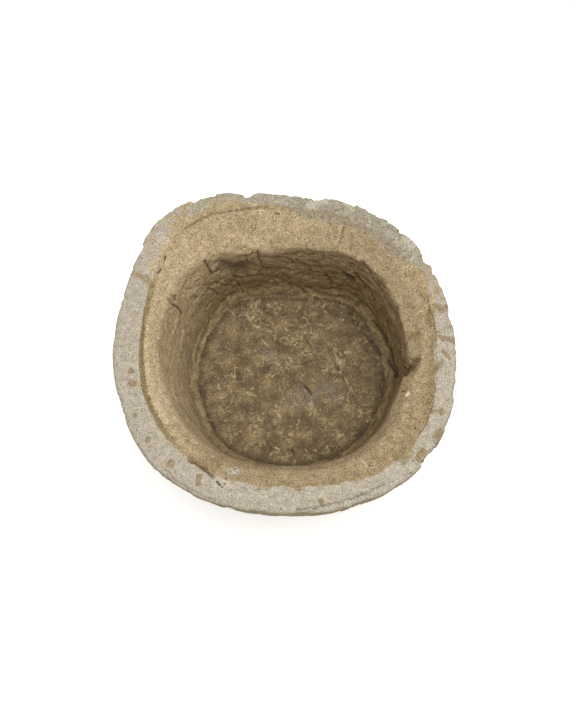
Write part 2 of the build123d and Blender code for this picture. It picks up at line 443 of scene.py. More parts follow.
def writeZoneMasks():
    mesh = carvedStone.data
    at = {name: k for k, name in enumerate(zoneNames)}
    points = readPoints(mesh)
    turn = np.degrees(np.arctan2(points[:, 1], points[:, 0])) % 360

    def byTurn(name):
        return np.interp(turn, list(coverage[name]), list(coverage[name].values()), period=360)

    fall = (stone["hollowDepth"] - stone["lipDepth"]) * mm
    down = np.clip((rimTop - stone["lipDepth"] * mm - points[:, 2]) / fall, 0, 1)
    reach = byTurn("skinReach") + byTurn("skinStray") * ripple(points, 22, 21)
    skin = np.clip((zone - 2.6) / 0.3 + 0.5, 0, 1) * np.clip((reach - zone) / 0.25 + 0.5, 0, 1)
    share = byTurn("skinShare")
    writeMask(mesh, "rimSkin", skin * np.clip(share + 1.3 * (1 - share) * ripple(points, 17, 22), 0, 1))
    writeMask(mesh, "ledgeBand", zoneMask(at["step"] + 0.6, at["bevel"], 0.4) * byTurn("ledgeBand"))
    writeMask(mesh, "pale", byTurn("pale"))
    # brown stain and painted shade on the wall: more of it lower down, and at the back and right
    writeMask(mesh, "stain", np.clip(down + byTurn("stain"), 0, 1))
    writeMask(mesh, "oldSkin", byTurn("oldSkin"))
    writeMask(mesh, "stepFace", zoneMask(at["step"] - 0.05, at["ledge"] + 0.3, 0.4) * byTurn("brownStep"))
    writeMask(mesh, "outerFace", zone < at["arris"] + 0.6)
    writeMask(mesh, "wallFace", zoneMask(at["wall"], at["floor"], 0.12))
    writeMask(mesh, "floorFace", zoneMask(at["floor"] - 0.15, at["floor"] + 2, 0.2))
    writeMask(mesh, "depthDown", down * (zone >= at["rim"]))
    wall = zoneMask(at["wall"] + 0.02, at["floor"] - 0.2, 0.2)
    bevel = zoneMask(at["bevel"] + 0.2, at["wall"] + 0.1, 0.4)
    floor = zoneMask(at["floor"], at["floor"] + 2)
    outside = zoneMask(at["outside"], at["arris"])
    zoneMasks = {"everywhere": 1.0, "wall": wall, "bevel": bevel, "floor": floor, "outside": outside}
    for name, shares in reliefShares.items():
        writeMask(mesh, name, sum(share * zoneMasks[place] * (byTurn(turned) if turned else 1)
                                  for place, share, turned in shares))


writeZoneMasks()

# Marks cut or broken by hand, placed where the photograph shows them: the path is in its pixels.
# A crack is a narrow groove. A shelf drops away on one side, given as a way across the image.
# A dent is a shallow bowl. Width, depth and radius are millimetres; the darkness value is the painted shade
# and dirt inside a mark.
markShape = {
    "waver": 1.1, "waverSize": 9.0,     # how far a mark strays from its path, and over what length
    "shelfEdge": 1.2, "shelfFade": 1.3,
    # an upright wall is seen so foreshortened that its marks are read as this share of their height
    "uprightShare": 0.4, "wallStart": 8.0,
}
marks = {
    "recessTop": {"kind": "shelf", "side": (0, 1), "width": 20, "depth": 9, "dirt": 1.0,
                  "path": [(224, 263), (228, 266.5), (234, 268), (241, 266.5), (249, 264.5)]},
    "recessBowl": {"kind": "dent", "radius": 14, "depth": 7, "dirt": 0.6,
                   "path": [(229, 270), (238, 272), (246, 270)]},
    "rightRecess": {"kind": "dent", "radius": 9, "depth": 6, "dirt": 0.75,
                    "path": [(389, 352), (391, 362), (395, 373)]},
    "rightCrevice": {"kind": "crack", "width": 4, "depth": 5, "dirt": 0.8,
                     "path": [(372, 322), (380, 334), (386, 346), (391, 360), (397, 377)]},
    "notchTooth": {"kind": "crack", "width": 3, "depth": 3, "dirt": 0.7,
                   "path": [(398, 356), (402, 362), (401, 367), (406, 371), (411, 367)]},
    "recessCrack": {"kind": "crack", "width": 3, "depth": 4, "dirt": 0.7,
                    "path": [(205, 263), (209, 269), (213, 276), (219, 273), (226, 269)]},
    "recessFoot": {"kind": "crack", "width": 3.5, "depth": 4, "dirt": 0.6,
                   "path": [(234, 278), (241, 280), (248, 277.5), (262, 277)]},
    "blockLeft": {"kind": "crack", "width": 2.6, "depth": 3, "dirt": 0.6,
                  "path": [(246, 258), (248.5, 266)]},
    "blockTop": {"kind": "crack", "width": 2.2, "depth": 2.5, "dirt": 0.5,
                 "path": [(248, 257.5), (252, 255), (256, 254.5)]},
    "blockRight": {"kind": "shelf", "side": (1, 0), "width": 9, "depth": 5, "dirt": 0.8,
                   "path": [(256, 254), (257.5, 261), (261, 266)]},
    "bedUpper": {"kind": "shelf", "side": (0, 1), "width": 13, "depth": 5, "dirt": 0.6,
                 "path": [(261, 259), (275, 257), (290, 261), (300, 263), (308, 267), (313, 273),
                          (325, 275), (333, 285)]},
    "bedMiddle": {"kind": "shelf", "side": (0, 1), "width": 11, "depth": 4, "dirt": 0.5,
                  "path": [(261, 267), (271, 270), (285, 270), (298, 271), (306, 275)]},
    "bedLower": {"kind": "shelf", "side": (0, 1), "width": 12, "depth": 4, "dirt": 0.5,
                 "path": [(272, 278), (283, 281), (290, 285), (298, 288), (305, 291)]},
    "bedFoot": {"kind": "shelf", "side": (0, 1), "width": 9, "depth": 5, "dirt": 0.8,
                "path": [(308, 287), (320, 293), (332, 296), (346, 297.5), (356, 303)]},
    "footLine": {"kind": "crack", "width": 3, "depth": 3, "dirt": 0.7,
                 "path": [(308, 297), (322, 300), (334, 301), (346, 305), (354, 310)]},
    "floorEdgeRight": {"kind": "crack", "width": 3.4, "depth": 4, "dirt": 0.7,
                       "path": [(349, 311), (358, 323), (366, 335), (373, 344), (380, 355)]},
    "wallLineOne": {"kind": "crack", "width": 4, "depth": 4, "dirt": 0.6,
                    "path": [(354, 276), (362, 284), (370, 296), (378, 310), (386, 326), (392, 345)]},
    "wallLineTwo": {"kind": "crack", "width": 3.4, "depth": 3.5, "dirt": 0.5,
                    "path": [(366, 270), (373, 283), (382, 296), (391, 312), (397, 330)]},
    "wallLineThree": {"kind": "crack", "width": 3.4, "depth": 3, "dirt": 0.5,
                      "path": [(348, 288), (358, 297), (367, 308), (377, 324), (386, 342)]},
    "lowerBlock": {"kind": "shelf", "side": (0, 1), "width": 10, "depth": 4, "dirt": 0.4,
                   "path": [(234, 281), (229, 287), (221, 284), (208, 286)]},
    "lowerCrack": {"kind": "crack", "width": 2.6, "depth": 4, "dirt": 0.8,
                   "path": [(238, 284), (241, 289), (244, 294.5)]},
    "zigzag": {"kind": "crack", "width": 2.6, "depth": 3.5, "dirt": 0.7,
               "path": [(203, 298), (207, 293), (211, 290), (216, 292), (220, 296)]},
    "leftCrack": {"kind": "crack", "width": 2.8, "depth": 3.5, "dirt": 0.8,
                  "path": [(169, 299), (174, 305), (181, 309), (185, 314)]},
    "leftTick": {"kind": "crack", "width": 2.2, "depth": 2.5, "dirt": 0.8,
                 "path": [(169, 370), (171, 374)]},
    "leftTickLow": {"kind": "crack", "width": 2.2, "depth": 2.5, "dirt": 0.8,
                    "path": [(177, 394), (181, 397)]},
    "leftSlot": {"kind": "crack", "width": 2.2, "depth": 2.5, "dirt": 0.8,
                 "path": [(189, 363), (190, 369)]},
    "cornerLine": {"kind": "shelf", "side": (-1, 0), "width": 6, "depth": 4, "dirt": 0.7,
                   "path": [(238, 297), (230, 299), (222, 306), (215, 317), (209, 329), (202, 344),
                            (198, 362)]},
    "facetLine": {"kind": "crack", "width": 5, "depth": 2.5, "dirt": 0.12,
                  "path": [(351, 236), (350, 251), (351, 266)]},
    "toothShadow": {"kind": "shelf", "side": (1, 0), "width": 20, "depth": 4, "dirt": 0.08,
                    "path": [(342, 228), (340, 238), (336, 248)]},
    "knob": {"kind": "crack", "width": 6, "depth": 6, "dirt": 0.9,
             "path": [(343, 276), (347, 280), (352, 281)]},
    "stepTickBack": {"kind": "crack", "width": 2, "depth": 2, "dirt": 0.9,
                     "path": [(165.4, 257), (165, 261.5)]},
    "stepTickLeft": {"kind": "crack", "width": 2.2, "depth": 2, "dirt": 0.9,
                     "path": [(161, 269), (158.6, 273)]},
    "backLine": {"kind": "crack", "width": 3.2, "depth": 2, "dirt": 0.4,
                 "path": [(186, 229), (197, 221.5), (211.6, 215), (230, 212), (249.5, 208.6),
                          (267, 207.5)]},
    "backArc": {"kind": "crack", "width": 2, "depth": 1.8, "dirt": 0.4,
                "path": [(253, 217), (256.5, 221), (256.6, 226), (252, 232)]},
    "bevelTick": {"kind": "crack", "width": 2.2, "depth": 2, "dirt": 0.6,
                  "path": [(270.8, 241), (271.5, 247)]},
    "bevelTickRight": {"kind": "crack", "width": 2.4, "depth": 2.4, "dirt": 0.7,
                       "path": [(305.5, 244), (307, 251)]},
    "bevelCrumbs": {"kind": "crack", "width": 3, "depth": 2.5, "dirt": 0.6,
                    "path": [(238, 246), (242, 249), (246, 246)]},
    "scratch": {"kind": "crack", "width": 1.8, "depth": 1.2, "dirt": 0.3,
                "path": [(204, 226), (208, 235), (212, 243)]},
    "rightLine": {"kind": "crack", "width": 2.2, "depth": 1.8, "dirt": 0.5,
                  "path": [(427, 295), (428.6, 308), (432.4, 318), (435.2, 333), (436.2, 356),
                           (436.5, 378), (432.4, 405), (424.8, 425), (417, 437)]},
    "rightCrack": {"kind": "crack", "width": 2.2, "depth": 1.8, "dirt": 0.6,
                   "path": [(418, 291), (422, 297), (425, 299)]},
    "ledgeScratchOne": {"kind": "crack", "width": 2, "depth": 1.5, "dirt": 0.6,
                        "path": [(420, 395), (425, 399), (430.5, 403)]},
    "ledgeScratchTwo": {"kind": "crack", "width": 2, "depth": 1.5, "dirt": 0.5,
                        "path": [(406, 412), (412, 417), (419, 422)]},
    "ledgeScratchThree": {"kind": "crack", "width": 2, "depth": 1.5, "dirt": 0.5,
                          "path": [(402.5, 430), (406, 433), (410.4, 436)]},
    "leftFootLine": {"kind": "crack", "width": 2.6, "depth": 1.8, "dirt": 0.3,
                     "path": [(150, 288), (145.5, 310), (144, 335), (143.5, 355), (145, 376),
                              (150, 400)]},
    "frontGroove": {"kind": "crack", "width": 5, "depth": 4, "dirt": 0.6,
                    "path": [(189.5, 460), (197, 463), (206, 469.5), (213, 476)]},
    "outerCrackLeft": {"kind": "crack", "width": 2.4, "depth": 2, "dirt": 0.5,
                       "path": [(166, 470), (177, 481), (189, 489), (206, 497), (221, 501)]},
    "outerCrackRight": {"kind": "crack", "width": 2.6, "depth": 2.5, "dirt": 0.6,
                        "path": [(296, 510), (312, 508), (329, 504), (351, 499), (366, 493),
                                 (384, 484)]},
    "notchChips": {"kind": "dent", "radius": 7, "depth": 3, "dirt": 0.3,
                   "path": [(411, 361), (418, 360.5)]},
    "notchHole": {"kind": "crack", "width": 4.5, "depth": 5, "dirt": 0.9,
                  "path": [(386, 360), (389, 368), (393, 374), (397, 377.5)]},
    "whiteFleckLine": {"kind": "crack", "width": 2, "depth": 2, "dirt": 0.8,
                       "path": [(401, 391.5), (405, 391)]},
    "floorGouge": {"kind": "crack", "width": 6, "depth": 4, "dirt": 0.35,
                   "path": [(307, 335), (312, 347), (318, 356), (324, 364)]},
    "floorGougeTwo": {"kind": "crack", "width": 5, "depth": 2.5, "dirt": 0.2,
                      "path": [(323, 341), (330, 353), (337, 367), (347, 384), (357, 402)]},
    "floorSlot": {"kind": "crack", "width": 4, "depth": 3, "dirt": 0.7,
                  "path": [(305, 386), (312, 393.5)]},
}


def seenThrough(tree, pixel):
    # where the line of sight through a pixel of the photograph meets the stone, or just misses its edge
    focal = viewpoint["lens"] / viewpoint["sensor"] * max(viewpoint["imageWidth"],
                                                          viewpoint["imageHeight"])
    across = (pixel[0] - viewpoint["imageWidth"] / 2) / focal
    up = (viewpoint["imageHeight"] / 2 - pixel[1]) / focal
    way = camera.matrix_world.to_3x3() @ Vector((across, up, -1))
    eye = camera.matrix_world.translation
    met = tree.ray_cast(eye, way.normalized())[0]
    return np.array(met or tree.find_nearest(eye + way * (rimTop - eye.z) / way.z)[0])


# Small patches of colour, each a way between pixels of the photograph, with its radius in millimetres.
# Noise of that size bends a patch's outline that far, and share is how much of its colour shows.
spots = {
    "whiteFlecks": {
        "colour": "#D6CFC0", "broken": 2.2, "size": 2.2, "soft": 0.35, "share": 0.85,
        "ways": [(2.0, (158, 338)), (1.8, (157, 355)), (1.2, (158, 379)), (1.9, (196, 443)),
                 (2.8, (408.5, 392.5), (407, 395)), (2.0, (340, 372.5)), (1.3, (305, 221.6)),
                 (1.3, (332, 237)), (1.4, (352, 271)), (1.8, (407.5, 367)), (1.5, (411, 361.5)),
                 (1.3, (262, 312)), (1.5, (343, 320)), (1.3, (331, 424))]},
    # pale streaks of lime crust, partly painted highlight along the lit edges of the floor's gouges
    "crustStreaks": {
        "colour": "#BFB195", "broken": 3.0, "size": 3.0, "soft": 0.6, "share": 0.48,
        "ways": [(1.5, (275, 219), (281, 219.6)), (1.6, (313, 223), (318, 226)),
                 (1.6, (341.3, 226), (339.6, 233.5)), (1.6, (363, 460.5), (366, 465), (370, 468)),
                 (1.6, (370, 468), (378, 466.5)), (1.8, (246, 315), (250.5, 320)),
                 (1.7, (308, 337), (312, 345)), (1.6, (314, 350), (321, 361)),
                 (1.5, (218.5, 384), (219, 389)), (1.4, (253, 204), (257, 205)),
                 (1.7, (334, 352), (341, 366)), (1.6, (345, 378), (352, 394)),
                 (1.6, (262, 340), (268, 346)), (1.5, (246, 392), (256, 396)),
                 (1.4, (275, 410), (281, 418))]},
    "palePatches": {
        "colour": "#AEA593", "broken": 6.0, "size": 5.0, "soft": 0.5, "share": 0.75,
        "ways": [(7.0, (310, 206), (318, 202), (325, 201)), (8.0, (218, 481), (227, 484)),
                 (5.5, (230, 472), (237, 471)), (4.5, (161, 416)), (9.0, (160, 236), (164, 240)),
                 (4.0, (441, 360), (446, 357)), (5.0, (345, 203), (352, 208)),
                 (8.0, (406, 239), (412, 246))]},
    # painted shade in small pits and holes, and at the ends of cracks
    "pits": {
        "colour": "#2B241B", "broken": 2.4, "size": 2.5, "soft": 0.45, "share": 0.85,
        "ways": [(2.0, (217, 482), (220, 485)), (1.5, (224.5, 484)), (1.6, (226, 479)),
                 (1.4, (222, 487)), (1.4, (235, 469.3)), (1.2, (230.5, 471.7)), (1.2, (237.5, 472.6)),
                 (1.2, (172.6, 437.5)), (1.7, (410.8, 473)), (1.3, (369.5, 466)),
                 (2.4, (394, 375.5), (397, 377.5)), (1.9, (305.5, 387), (309, 390.5)),
                 (1.4, (249.6, 209)), (1.4, (275, 213), (279, 214)), (1.3, (165.2, 257), (165, 260)),
                 (1.3, (161, 269), (159, 272)), (1.5, (415.3, 428)), (1.3, (413.3, 460.5)),
                 (1.4, (263, 311), (268, 313)), (1.4, (300, 329)), (1.6, (281, 509)), (1.4, (176, 336)),
                 (1.5, (183.7, 364.5)), (1.3, (402, 391.5), (404, 391))]},
    "brownPatches": {
        "colour": "#7A6747", "broken": 6.0, "size": 5.0, "soft": 0.6, "share": 0.75,
        "ways": [(5.0, (192, 459), (203, 467)), (5.5, (214, 461), (220, 463)), (4.5, (187, 440.6)),
                 (7.0, (256, 464), (270, 466)), (6.5, (411, 336.5), (416, 336)),
                 (6.5, (397, 457), (403, 458)), (4.0, (404, 463)), (5.5, (428, 312), (429, 323)),
                 (6.0, (437, 307), (443, 309)), (4.0, (450, 327)), (4.0, (426, 424)), (3.5, (298, 491)),
                 (3.0, (258.5, 489)), (5.5, (413, 363), (419, 360)), (5.0, (398, 308)),
                 (6.0, (146, 279), (152, 284)), (4.0, (138, 276), (146, 280)), (4.0, (134.6, 415.4)),
                 (4.0, (437, 369), (442, 361)), (3.0, (433, 411), (441, 412)),
                 (5.0, (420, 452), (426, 463)), (5.0, (440, 430), (437, 444)),
                 (3.0, (441, 338), (455, 341))]},
    # painted sheen: a bluish grey reflection on the floor, laid in as colour
    "wetSheen": {
        "colour": "#82796E", "broken": 16.0, "size": 12.0, "soft": 0.8, "share": 0.4,
        "ways": [(11.0, (290, 404), (303, 392)), (9.0, (303, 404), (322, 388)),
                 (9.0, (326, 385), (336, 398)), (6.0, (186, 350), (188, 362)),
                 (9.0, (266, 352), (272, 358))]},
    "moss": {
        "colour": "#7C7450", "broken": 5.0, "size": 5.0, "soft": 0.6, "share": 0.8,
        "ways": [(4.5, (180, 404), (196, 425))]},
}


def nearestOnPath(points, path):
    # how far each point is from a path, and which way
    nearest = np.full(len(points), np.inf)
    away = np.zeros((len(points), 3))
    for start, end in zip(path, path[1:] if len(path) > 1 else path):
        run = end - start
        share = np.clip((points - start) @ run / max(run @ run, 1e-12), 0, 1)
        apart = points - start - share[:, None] * run
        distance = np.linalg.norm(apart, axis=1)
        closer = distance < nearest
        nearest[closer], away[closer] = distance[closer], apart[closer]
    return nearest, away


def alongWay(tree, radius, pixels):
    # points on the stone close enough together that spots of that radius join up
    places = [seenThrough(tree, pixel) for pixel in pixels]
    joined = places[:1]
    for start, end in zip(places, places[1:]):
        count = max(1, math.ceil(np.linalg.norm(end - start) / (1.1 * radius * mm)))
        joined += [start + (end - start) * k / count for k in range(1, count + 1)]
    return joined


def carveMarks():
    mesh = carvedStone.data
    points = readPoints(mesh)
    tree = BVHTree.FromPolygons([Vector(p) for p in points], [tuple(p.vertices) for p in mesh.polygons])
    waver = np.stack([ripple(points, markShape["waverSize"], seed) for seed in (31, 32, 33)], 1)
    bent = points + waver * markShape["waver"] * mm
    carved = np.zeros(len(points))
    dirt = np.zeros(len(points))
    for mark in marks.values():
        path = [seenThrough(tree, pixel) for pixel in mark["path"]]
        below = rimTop / mm - np.mean(path, 0)[2] / mm
        onWall = stone["lipDepth"] < below < stone["hollowDepth"] - markShape["wallStart"]
        squeeze = np.array([1, 1, markShape["uprightShare"] if onWall else 1])
        size = mark.get("width", mark.get("radius")) * mm
        reach = (2.5 * size + 4 * mm) / squeeze
        low, high = np.min(path, 0) - reach, np.max(path, 0) + reach
        near = np.flatnonzero(((points > low) & (points < high)).all(1))
        distance, away = nearestOnPath(bent[near] * squeeze, [place * squeeze for place in path])
        # each mark is painted dark inside: painted shade in its groove or bowl, or just past a shelf's
        # edge, together with some dirt
        if mark["kind"] == "shelf":
            side = (seenThrough(tree, np.array(mark["path"][1]) + mark["side"]) - path[1]) * squeeze
            past = away @ (side / np.linalg.norm(side))
            edge = np.clip(past / (markShape["shelfEdge"] * mm) + 0.3, 0, 1)
            share = edge * np.clip(1 - distance / size, 0, 1) ** markShape["shelfFade"]
            stain = share * np.clip(1 - distance / (0.5 * size), 0, 1)
        else:
            share = np.clip(1 - distance / size, 0, 1)
            share = share * share * (3 - 2 * share)
            stain = share
        carved[near] = np.maximum(carved[near], share * mark["depth"] * mm)
        dirt[near] = np.maximum(dirt[near], stain * mark["dirt"])
    writeMask(mesh, "carved", carved)
    writeMask(mesh, "dirt", dirt)


carveMarks()
print("marks carved")

# Weathering follows rules, so nodes make it: soft lumps, tilted chips with sharp edges, beds
# that step back one below another, furrows left by a point chisel, and grain.
weathering = {
    "Lump Size": 38.0, "Lump Depth": 2.4,
    "Chip Size": 42.0, "Chip Depth": 3.2,
    "Bed Spacing": 26.0, "Bed Depth": 3.2,
    "Furrow Length": 26.0, "Furrow Width": 4.0, "Furrow Depth": 1.5, "Furrow Spacing": 34.0,
    "Grain Size": 5.0, "Grain Depth": 0.8,
}
# noise that bends the chips' outlines, sways the beds and leaves them out in places
unevenness = {"chipBend": 14.0, "chipBendSize": 24, "bedSway": 75.0, "bedSwaySize": 95, "bedGaps": 60}


def startTree(name, lengths):
    # a Geometry Nodes tree with its inputs named
    tree = bpy.data.node_groups.new(name, "GeometryNodeTree")
    face = tree.interface
    face.new_socket(name="Geometry", in_out="INPUT", socket_type="NodeSocketGeometry")
    for length in lengths:
        face.new_socket(name=length, in_out="INPUT", socket_type="NodeSocketFloat")
    face.new_socket(name="Seed", in_out="INPUT", socket_type="NodeSocketInt")
    face.new_socket(name="Material", in_out="INPUT", socket_type="NodeSocketMaterial")
    face.new_socket(name="Geometry", in_out="OUTPUT", socket_type="NodeSocketGeometry")
    return tree, addNode(tree, "NodeGroupInput").outputs


def endTree(tree, given, shift):
    # every point moves by the shift, and the result takes the material
    made = addNode(tree, "GeometryNodeSetPosition", {"Geometry": given["Geometry"], "Offset": shift})
    made = addNode(tree, "GeometryNodeRealizeInstances", {"Geometry": made})
    made = addNode(tree, "GeometryNodeSetMaterial", {"Geometry": made, "Material": given["Material"]})
    addNode(tree, "NodeGroupOutput", {0: made})
    return tree


def weatheringNodes():
    tree, given = startTree("stoneWeathering", weathering)
    place = addNode(tree, "GeometryNodeInputPosition")
    normal = addNode(tree, "GeometryNodeInputNormal")
    masks = {name: addNode(tree, "GeometryNodeInputNamedAttribute", {"Name": name}, data_type="FLOAT")
             for name in ("hewn", "bedded", "worn", "carved")}
    sizes = {name: maths(tree, "DIVIDE", 1.0, given[name])
             for name in ("Lump Size", "Chip Size", "Bed Spacing", "Grain Size")}

    def depthOf(share, depth, mask):
        deep = maths(tree, "MULTIPLY", share, given[depth])
        return maths(tree, "MULTIPLY", deep, masks[mask])

    lumps = addNode(tree, "ShaderNodeTexNoise", {"Vector": place, "W": given["Seed"],
                                                 "Scale": sizes["Lump Size"], "Detail": 4.0,
                                                 "Roughness": 0.55}, noise_dimensions="4D")
    lumpDepth = depthOf(lumps.outputs[0], "Lump Depth", "worn")

    # chips: each cell of a pattern sinks and tilts its own way, and its outline is bent by noise
    bend = plainNoise(tree, place, perMetre(unevenness["chipBendSize"]), 2.0)
    bent = vectorMaths(tree, "SUBTRACT", bend.outputs["Color"], (0.5, 0.5, 0.5))
    bent = scaledBy(tree, bent, unevenness["chipBend"] * mm)
    bent = vectorMaths(tree, "ADD", place, bent)
    cells = addNode(tree, "ShaderNodeTexVoronoi", {"Vector": bent, "Scale": sizes["Chip Size"]})
    chance = addNode(tree, "FunctionNodeSeparateColor", {0: cells.outputs["Color"]})
    fromMiddle = vectorMaths(tree, "SUBTRACT", bent, cells.outputs["Position"])
    tilt = vectorMaths(tree, "SUBTRACT", cells.outputs["Color"], (0.5, 0.5, 0.5))
    tilted = vectorMaths(tree, "DOT_PRODUCT", fromMiddle, tilt)
    tilted = maths(tree, "MULTIPLY", tilted.outputs["Value"], sizes["Chip Size"])
    sunk = maths(tree, "MULTIPLY_ADD", chance, 0.5, 0.35)
    sunk = maths(tree, "MULTIPLY_ADD", tilted, 2.0, sunk, use_clamp=True)
    chipDepth = depthOf(sunk, "Chip Depth", "hewn")

    # beds: a height bent by broad noise, cut into steps that lean out and then jump back
    sway = plainNoise(tree, place, perMetre(unevenness["bedSwaySize"]), 3.0)
    rise = addNode(tree, "ShaderNodeSeparateXYZ", {0: place})
    swayed = maths(tree, "MULTIPLY_ADD", sway.outputs[0], unevenness["bedSway"] * mm, rise.outputs[2])
    beds = maths(tree, "MULTIPLY", swayed, sizes["Bed Spacing"])
    lean = maths(tree, "FRACT", beds)
    lean = maths(tree, "POWER", lean, 1.6)
    patchy = plainNoise(tree, place, perMetre(unevenness["bedGaps"]), 2.0)
    patchy = mapRange(tree, patchy.outputs[0], 0.38, 0.6)
    bedDepth = depthOf(maths(tree, "MULTIPLY", lean, patchy), "Bed Depth", "bedded")

    # furrows: short strokes lie on the hewn faces, each leaning its own way, and are cut into the stone
    spread = maths(tree, "POWER", given["Furrow Spacing"], 2.0)
    density = maths(tree, "DIVIDE", 1.0, spread)
    rough = maths(tree, "GREATER_THAN", masks["hewn"], 0.3)
    starts = addNode(tree, "GeometryNodeDistributePointsOnFaces", {"Mesh": given["Geometry"],
                                                                   "Selection": rough, "Density": density,
                                                                   "Seed": given["Seed"]})
    slant = addNode(tree, "FunctionNodeRandomValue", {0: (-0.8, -0.8, 0.3), 1: (0.8, 0.8, 1.0),
                                                      "Seed": given["Seed"]}, data_type="FLOAT_VECTOR")
    outward = starts.outputs["Normal"]
    proud = vectorMaths(tree, "DOT_PRODUCT", slant, outward)
    across = scaledBy(tree, outward, proud.outputs["Value"])
    along = vectorMaths(tree, "SUBTRACT", slant, across)
    turned = addNode(tree, "FunctionNodeAlignRotationToVector", {"Vector": along}, axis="Z")
    stroke = addNode(tree, "GeometryNodeMeshLine", {"Count": 2, "Start Location": (0, 0, -0.5),
                                                    "Offset": (0, 0, 0.5)}, mode="END_POINTS")
    long = addNode(tree, "FunctionNodeRandomValue", {2: 0.5, 3: 1.2, "Seed": given["Seed"]},
                   data_type="FLOAT")
    size = maths(tree, "MULTIPLY", long.outputs[1], given["Furrow Length"])
    strokes = addNode(tree, "GeometryNodeInstanceOnPoints", {"Points": starts.outputs["Points"],
                                                             "Instance": stroke, "Rotation": turned,
                                                             "Scale": size})
    strokes = addNode(tree, "GeometryNodeRealizeInstances", {"Geometry": strokes})
    near = addNode(tree, "GeometryNodeProximity", {0: strokes}, target_element="EDGES")
    furrow = mapRange(tree, near.outputs["Distance"], 0.0, given["Furrow Width"], 1.0, 0.0,
                      interpolation_type="SMOOTHSTEP")
    furrowDepth = depthOf(furrow, "Furrow Depth", "hewn")

    grain = plainNoise(tree, place, sizes["Grain Size"], 3.0, 0.6)
    grainDepth = maths(tree, "MULTIPLY", grain.outputs[0], given["Grain Depth"])

    depth = lumpDepth
    for part in (chipDepth, bedDepth, furrowDepth, grainDepth, masks["carved"]):
        depth = maths(tree, "ADD", depth, part)
    inwards = maths(tree, "MULTIPLY", depth, -1.0)
    shift = scaledBy(tree, normal, inwards)
    return endTree(tree, given, shift)


def runNodes(piece, tree, inputs):
    # runs a node tree on a piece, and leaves the result as its plain mesh
    modifier = piece.modifiers.new(tree.name, "NODES")
    modifier.node_group = tree
    for item in tree.interface.items_tree:
        if item.item_type == "SOCKET" and item.in_out == "INPUT" and item.name in inputs:
            modifier[item.identifier] = inputs[item.name]
    bakeModifiers(piece)


def bakeModifiers(piece):
    depsgraph = bpy.context.evaluated_depsgraph_get()
    mesh = bpy.data.meshes.new_from_object(piece.evaluated_get(depsgraph), preserve_all_data_layers=True,
                                           depsgraph=depsgraph)
    old = piece.data
    piece.modifiers.clear()
    piece.data = mesh
    bpy.data.meshes.remove(old)
    mesh.name = piece.name


limestone = bpy.data.materials.new("weathered hand-cut limestone")
runNodes(carvedStone, weatheringNodes(), {**{k: v * mm for k, v in weathering.items()}, "Seed": 4,
                                          "Material": limestone})
print("stone weathered")

# Weathered limestone: a sedimentary stone, cut with a point and never polished. It is matt and
# chalky, and tan where it was cut, with a pale grey skin of weather on the rim, an older darker
# skin at the back right, and brown stain low in the hollow under a net of lime crust. Painted
# shade is laid in with that stain, and with dirt in the crevices and marks. The eye sees grain
# of two or three millimetres everywhere, dark pores, and a few white grains.
limestoneFinish = {
    "roughness": 0.92, "ior": 1.5, "specular": 0.25,
    "coarseGrain": 2.7, "fineGrain": 1.5, "grainContrast": 0.26, "skinGrain": 0.72, "grainRelief": 1.1,
    "poreSpacing": 6.0, "poreShare": 0.45, "poreWidth": 1.3,
    "whiteGrainSpacing": 11.0, "whiteGrainShare": 0.3, "whiteGrainWidth": 1.4,
    "crustSpacing": 26.0, "crustWidth": 1.3, "crustGaps": 22.0,
    "poreColour": "#3D3323", "whiteGrainColour": "#C9C1AE", "crustColour": "#AB9872",
    # the dark brown of painted shade and dirt in crevices and marks
    "dirtColour": "#2E2417",
    "poreDark": 0.5, "whiteGrainBright": 0.6, "creviceDirt": 0.5,
}

# Each shade is a noise that many millimetres across, run through colours at shares of its range.
# A stretched one lies in flat beds.
stoneShades = {
    # cut stone on the ledge and bevel, and where it was cut cleaner
    "body": {"size": 13, "colours": {0.32: "#80704E", 0.5: "#8F7B5D", 0.68: "#9B8769"}},
    "paleBody": {"size": 13, "colours": {0.32: "#A08F6E", 0.5: "#AE9A79", 0.68: "#BBA786"}},
    # the wall of the hollow: clean above, brown below with stain and painted shade, and lighter again near
    # its foot
    "cleanWall": {"size": 20, "colours": {0.32: "#9C8966", 0.5: "#B19B77", 0.68: "#C1AC89"},
                  "stretch": (1, 1, 2.0)},
    "stainedWall": {"size": 16, "colours": {0.32: "#69563B", 0.5: "#8D7655", 0.68: "#A8906B"},
                    "stretch": (1, 1, 2.5), "rough": 0.72},
    "lowWall": {"size": 16, "colours": {0.32: "#6A5A3E", 0.5: "#8A7653", 0.68: "#A18D67"},
                "stretch": (1, 1, 2.5), "rough": 0.72},
    # damp brown silt stain on the floor
    "floor": {"size": 24, "colours": {0.32: "#5A4B37", 0.45: "#6A5A42", 0.56: "#79684B", 0.68: "#877555"},
              "rough": 0.62},
    # the pale grey skin of the rim, the old dark one, and the smooth band inside it
    "skin": {"size": 11, "colours": {0.32: "#958B7A", 0.5: "#A19786", 0.68: "#ADA492"}, "detail": 6.0,
             "rough": 0.7},
    "old": {"size": 7, "colours": {0.32: "#655C4E", 0.5: "#8B816F", 0.68: "#B2A996"}, "detail": 6.0,
            "rough": 0.8},
    "band": {"size": 9, "colours": {0.32: "#7B6F5A", 0.5: "#8A7D67", 0.68: "#998C74"}, "rough": 0.7},
    # soil-stained stone on the face of the rebate, and the outside
    "step": {"size": 10, "colours": {0.3: "#7A6849", 0.7: "#94815D"}},
    "outer": {"size": 20, "colours": {0.3: "#6E5F48", 0.5: "#87765B", 0.7: "#9B8B70"}, "rough": 0.7},
}


def mattShader(material, finish):
    # a material's tree, its shader with the finish's gloss, and the place that its textures read
    material.use_nodes = True
    tree = material.node_tree
    shader = tree.nodes["Principled BSDF"]
    shader.inputs["Roughness"].default_value = finish["roughness"]
    shader.inputs["IOR"].default_value = finish["ior"]
    shader.inputs["Specular IOR Level"].default_value = finish["specular"]
    return tree, shader, addNode(tree, "ShaderNodeTexCoord").outputs["Object"]


